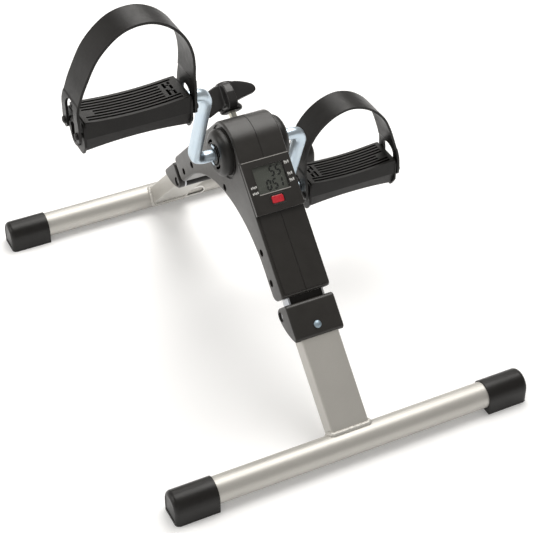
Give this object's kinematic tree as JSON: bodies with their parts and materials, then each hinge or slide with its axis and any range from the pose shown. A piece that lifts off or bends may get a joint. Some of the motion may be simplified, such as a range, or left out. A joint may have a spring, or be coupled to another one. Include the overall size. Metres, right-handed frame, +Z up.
{
  "type": "pedal exerciser",
  "caption": "Folding under-desk pedal exerciser: arched housing on two tubular legs with crossbars, two strapped pedals on a bent crank, display and tension knob.",
  "frame": {"origin": "on the floor, midway between the two crossbars and under the crank axis", "axes": "+Z up, +X to the right of a user who faces the display, -Y towards the display side, +Y towards the tension knob side"},
  "size_m": [0.3998, 0.5048, 0.431],
  "materials": {
    "housing_plastic": "fine grained matt dark grey",
    "cover_plastic": "matt dark grey",
    "black_plastic": "matt black",
    "strap_plastic": "satin black, flexible",
    "cap_rubber": "satin black",
    "silver_paint": "satin silver powder coat",
    "zinc_steel": "bright zinc plate",
    "plain_steel": "plain",
    "spring_steel": "bright",
    "bronze": "sintered",
    "magnet": "plated",
    "felt": "pressed felt",
    "red_plastic": "gloss red",
    "clear_plastic": "clear window",
    "display": "grey green liquid crystal",
    "board": "green laminate",
    "cell": "plain sleeve"
  },
  "bodies": {
    "housing": {"housing_shell_left": "housing_plastic", "housing_shell_right": "housing_plastic", "housing_screws": "plain_steel", "bearing_cover_left": "cover_plastic", "bearing_cover_right": "cover_plastic", "crank_bush_left": "black_plastic", "crank_bush_right": "black_plastic", "console_bezel": "housing_plastic", "display_window": "clear_plastic", "display_module": "display", "meter_board": "board", "meter_switch": "black_plastic", "battery_cell": "cell", "speed_sensor": "black_plastic", "screw_nut": "plain_steel", "front_hinge_bracket": "plain_steel", "front_hinge_core": "black_plastic", "rear_hinge_bracket": "plain_steel", "rear_hinge_core": "black_plastic"},
    "crank": {"crank_left": "zinc_steel", "crank_right": "zinc_steel", "brake_drum": "black_plastic", "drum_magnet": "magnet", "left_pedal_nut": "zinc_steel", "right_pedal_nut": "zinc_steel"},
    "brake_shoe": {"brake_shoe": "black_plastic", "brake_liner": "felt"},
    "tension_knob": {"tension_knob": "black_plastic", "tension_screw": "zinc_steel"},
    "reset_button": {"reset_button": "red_plastic"},
    "left_pedal": {"left_pedal_body": "black_plastic", "left_pedal_bushes": "bronze", "left_pedal_outer_plate": "black_plastic", "left_pedal_inner_plate": "black_plastic", "left_pedal_studs": "black_plastic", "left_pedal_strap": "strap_plastic"},
    "right_pedal": {"right_pedal_body": "black_plastic", "right_pedal_bushes": "bronze", "right_pedal_outer_plate": "black_plastic", "right_pedal_inner_plate": "black_plastic", "right_pedal_studs": "black_plastic", "right_pedal_strap": "strap_plastic"},
    "front_leg": {"front_crossbar": "silver_paint", "front_upright": "silver_paint", "front_weld": "silver_paint", "front_end_caps": "cap_rubber", "front_knuckle": "housing_plastic", "front_hinge_pin": "plain_steel", "front_snap_spring": "spring_steel"},
    "front_snap_button": {"front_snap_button": "zinc_steel"},
    "rear_leg": {"rear_crossbar": "silver_paint", "rear_upright": "silver_paint", "rear_weld": "silver_paint", "rear_end_caps": "cap_rubber", "rear_knuckle": "housing_plastic", "rear_hinge_pin": "plain_steel", "rear_snap_spring": "spring_steel"},
    "rear_snap_button": {"rear_snap_button": "zinc_steel"}
  },
  "joints": [
    {"name": "crank_spin", "type": "hinge", "parent": "housing", "child": "crank", "pos_m": [0, 0, 0.227], "axis": [1, 0, 0], "continuous": true},
    {"name": "left_pedal_spin", "type": "hinge", "parent": "crank", "child": "left_pedal", "pos_m": [-0.139, -0.03942, 0.32969], "axis": [1, 0, 0], "continuous": true},
    {"name": "right_pedal_spin", "type": "hinge", "parent": "crank", "child": "right_pedal", "pos_m": [0.137, 0.03942, 0.12431], "axis": [1, 0, 0], "continuous": true},
    {"name": "tension_knob_turn", "type": "hinge", "parent": "brake_shoe", "child": "tension_knob", "pos_m": [0, 0.03782, 0.24502], "axis": [0, -0.7071, -0.7071], "range_deg": [-270, 540]},
    {"name": "brake_shoe_feed", "type": "slide", "parent": "housing", "child": "brake_shoe", "axis": [0, -0.7071, -0.7071], "range_m": [-0.00075, 0.0015]},
    {"name": "reset_button_press", "type": "slide", "parent": "housing", "child": "reset_button", "axis": [0, 0.7071, -0.7071], "range_m": [0, 0.001], "stiffness_N_per_m": 400, "springref_m": -0.0005},
    {"name": "front_leg_fold", "type": "hinge", "parent": "housing", "child": "front_leg", "pos_m": [0, -0.13046, 0.10642], "axis": [1, 0, 0], "range_deg": [0, 95]},
    {"name": "rear_leg_fold", "type": "hinge", "parent": "housing", "child": "rear_leg", "pos_m": [0, 0.13046, 0.10642], "axis": [-1, 0, 0], "range_deg": [0, 95]},
    {"name": "front_snap_button_press", "type": "slide", "parent": "front_leg", "child": "front_snap_button", "axis": [0, 0.7071, -0.7071], "range_m": [0, 0.004], "stiffness_N_per_m": 1000, "springref_m": -0.002, "deforming": ["front_snap_spring"]},
    {"name": "rear_snap_button_press", "type": "slide", "parent": "rear_leg", "child": "rear_snap_button", "axis": [0, -0.7071, -0.7071], "range_m": [0, 0.004], "stiffness_N_per_m": 1000, "springref_m": -0.002, "deforming": ["rear_snap_spring"]}
  ],
  "couplings": [
    {"joint": "brake_shoe_feed", "follows": "tension_knob_turn", "m_per_rad": 0.00015915}
  ]
}
